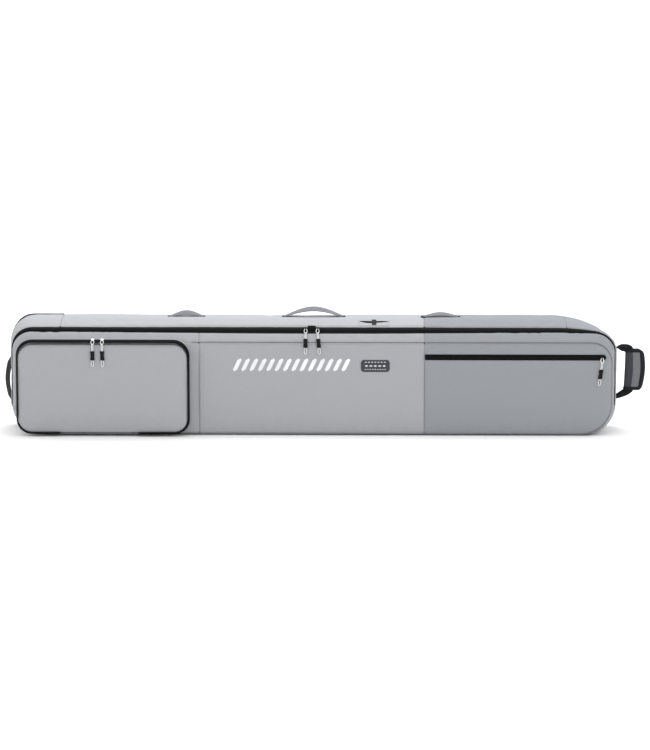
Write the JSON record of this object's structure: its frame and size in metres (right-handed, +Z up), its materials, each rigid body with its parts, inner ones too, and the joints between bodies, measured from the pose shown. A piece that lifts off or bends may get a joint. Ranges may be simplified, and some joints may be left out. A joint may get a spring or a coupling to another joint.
{
  "type": "snowboard bag",
  "caption": "Long padded snowboard bag with a zip-round lid, a boot pocket, a quick pocket, webbing handles, a padded haul handle and recessed wheels.",
  "frame": {"origin": "on the ground, under the middle of the bag's length, as it stands on its long narrow edge", "axes": "+X towards the padded haul handle, -Y towards the lid and its pockets, +Z up"},
  "size_m": [1.7714, 0.2471, 0.3441],
  "materials": {
    "fabric_side": "coated woven polyester, blue grey",
    "fabric_top": "coated woven polyester, pale grey",
    "fabric_front": "coated woven polyester, mid grey",
    "foam": "closed-cell padding",
    "lining": "thin dark woven lining",
    "zip": "black coated zip tape",
    "webbing": "grey woven webbing",
    "webbing_dark": "charcoal woven webbing",
    "moulding": "black moulded, fine grain",
    "urethane": "black cast urethane",
    "hub": "grey moulded",
    "steel": "plain steel pin",
    "silver": "bright plated zinc",
    "cord": "white braided cord",
    "label": "dark woven label"
  },
  "bodies": {
    "base": {"back_panel": "fabric_side", "top_gusset": "fabric_top", "bottom_gusset": "fabric_side", "left_end_gusset": "fabric_side", "right_end_gusset": "fabric_side", "base_foam": "foam", "base_lining": "lining", "kick_plate": "moulding", "wheel_tub": "moulding", "axle_lower": "steel", "axle_upper": "steel", "main_zip_rear": "zip", "zip_garage": "zip", "card_holder": "fabric_top", "card_holder_tab": "webbing", "tie_down_left": "webbing_dark", "tie_down_right": "webbing_dark", "buckle_left": "moulding", "buckle_right": "moulding"},
    "lid": {"front_panel_left": "fabric_front", "front_panel_middle": "fabric_front", "front_panel_right": "fabric_side", "lid_gusset_left": "fabric_top", "lid_gusset_middle": "fabric_top", "lid_gusset_right": "fabric_side", "lid_foam": "foam", "lid_lining": "lining", "lid_mesh_pocket": "lining", "main_zip_front": "zip", "boot_pocket_gusset": "fabric_front", "boot_zip_inner": "zip", "quick_zip_tape": "zip", "woven_label": "label"},
    "pocket_flap": {"boot_pocket_panel": "fabric_front", "boot_zip_outer": "zip"},
    "wheel_lower": {"tyre_lower": "urethane", "hub_lower": "hub"},
    "wheel_upper": {"tyre_upper": "urethane", "hub_upper": "hub"},
    "top_carry": {"carry_handle": "webbing"},
    "top_loop_left": {"small_loop_left": "webbing"},
    "top_loop_right": {"small_loop_right": "webbing"},
    "end_grab": {"end_handle": "webbing_dark"},
    "haul": {"haul_webbing": "webbing_dark", "haul_grip": "webbing_dark"},
    "main_left_slider": {"slider_main_left": "silver"},
    "main_right_slider": {"slider_main_right": "silver"},
    "boot_left_slider": {"slider_boot_left": "silver"},
    "boot_right_slider": {"slider_boot_right": "silver"},
    "quick_slider": {"slider_quick": "silver"},
    "main_left_pull": {"pull_main_left_cord": "cord", "pull_main_left_grip": "moulding"},
    "main_right_pull": {"pull_main_right_cord": "cord", "pull_main_right_grip": "moulding"},
    "boot_left_pull": {"pull_boot_left_cord": "cord", "pull_boot_left_grip": "moulding"},
    "boot_right_pull": {"pull_boot_right_cord": "cord", "pull_boot_right_grip": "moulding"},
    "quick_pull": {"pull_quick_cord": "cord", "pull_quick_grip": "moulding"}
  },
  "joints": [
    {"name": "lid_hinge", "type": "hinge", "parent": "base", "child": "lid", "pos_m": [0, -0.1015, 0.002], "axis": [1, 0, 0], "range_deg": [0, 90]},
    {"name": "pocket_flap_hinge", "type": "hinge", "parent": "lid", "child": "pocket_flap", "pos_m": [-0.5785, -0.1285, 0.0115], "axis": [1, 0, 0], "range_deg": [0, 90]},
    {"name": "wheel_lower_spin", "type": "hinge", "parent": "base", "child": "wheel_lower", "pos_m": [-0.806, 0.07, 0.075], "axis": [0, 0, 1], "continuous": true},
    {"name": "wheel_upper_spin", "type": "hinge", "parent": "base", "child": "wheel_upper", "pos_m": [-0.806, 0.07, 0.238], "axis": [0, 0, 1], "continuous": true},
    {"name": "carry_handle_sway", "type": "hinge", "parent": "base", "child": "top_carry", "pos_m": [0, 0.02, 0.3162], "axis": [1, 0, 0], "range_deg": [-60, 60]},
    {"name": "loop_left_sway", "type": "hinge", "parent": "base", "child": "top_loop_left", "pos_m": [-0.354, 0.02, 0.3162], "axis": [1, 0, 0], "range_deg": [-45, 45]},
    {"name": "loop_right_sway", "type": "hinge", "parent": "base", "child": "top_loop_right", "pos_m": [0.353, 0.02, 0.3162], "axis": [1, 0, 0], "range_deg": [-30, 30]},
    {"name": "end_handle_sway", "type": "hinge", "parent": "base", "child": "end_grab", "pos_m": [-0.8422, 0, 0.1485], "axis": [0, 0, 1], "range_deg": [-30, 30]},
    {"name": "haul_handle_swing", "type": "hinge", "parent": "base", "child": "haul", "pos_m": [0.8425, 0, 0.171], "axis": [0, 0, 1], "range_deg": [-60, 60]},
    {"name": "main_left_zip", "type": "slide", "parent": "lid", "child": "main_left_slider", "axis": [1, 0, 0], "range_m": [-0.3, 0]},
    {"name": "main_right_zip", "type": "slide", "parent": "lid", "child": "main_right_slider", "axis": [1, 0, 0], "range_m": [0, 0.72]},
    {"name": "boot_left_zip", "type": "slide", "parent": "pocket_flap", "child": "boot_left_slider", "axis": [1, 0, 0], "range_m": [-0.15, 0]},
    {"name": "boot_right_zip", "type": "slide", "parent": "pocket_flap", "child": "boot_right_slider", "axis": [1, 0, 0], "range_m": [0, 0.175]},
    {"name": "quick_zip", "type": "slide", "parent": "lid", "child": "quick_slider", "axis": [1, 0, 0], "range_m": [-0.46, 0]},
    {"name": "main_left_pull_swing", "type": "hinge", "parent": "main_left_slider", "child": "main_left_pull", "pos_m": [-0.0206, -0.07399, 0.29333], "axis": [-1, 0, 0], "range_deg": [0, 140]},
    {"name": "main_right_pull_swing", "type": "hinge", "parent": "main_right_slider", "child": "main_right_pull", "pos_m": [0.0124, -0.07399, 0.29333], "axis": [-1, 0, 0], "range_deg": [0, 140]},
    {"name": "boot_left_pull_swing", "type": "hinge", "parent": "boot_left_slider", "child": "boot_left_pull", "pos_m": [-0.605, -0.1237, 0.26862], "axis": [-1, 0, 0], "range_deg": [0, 140]},
    {"name": "boot_right_pull_swing", "type": "hinge", "parent": "boot_right_slider", "child": "boot_right_pull", "pos_m": [-0.579, -0.1237, 0.26862], "axis": [-1, 0, 0], "range_deg": [0, 140]},
    {"name": "quick_pull_swing", "type": "hinge", "parent": "quick_slider", "child": "quick_pull", "pos_m": [0.795, -0.1064, 0.2194], "axis": [-1, 0, 0], "range_deg": [0, 140]}
  ]
}
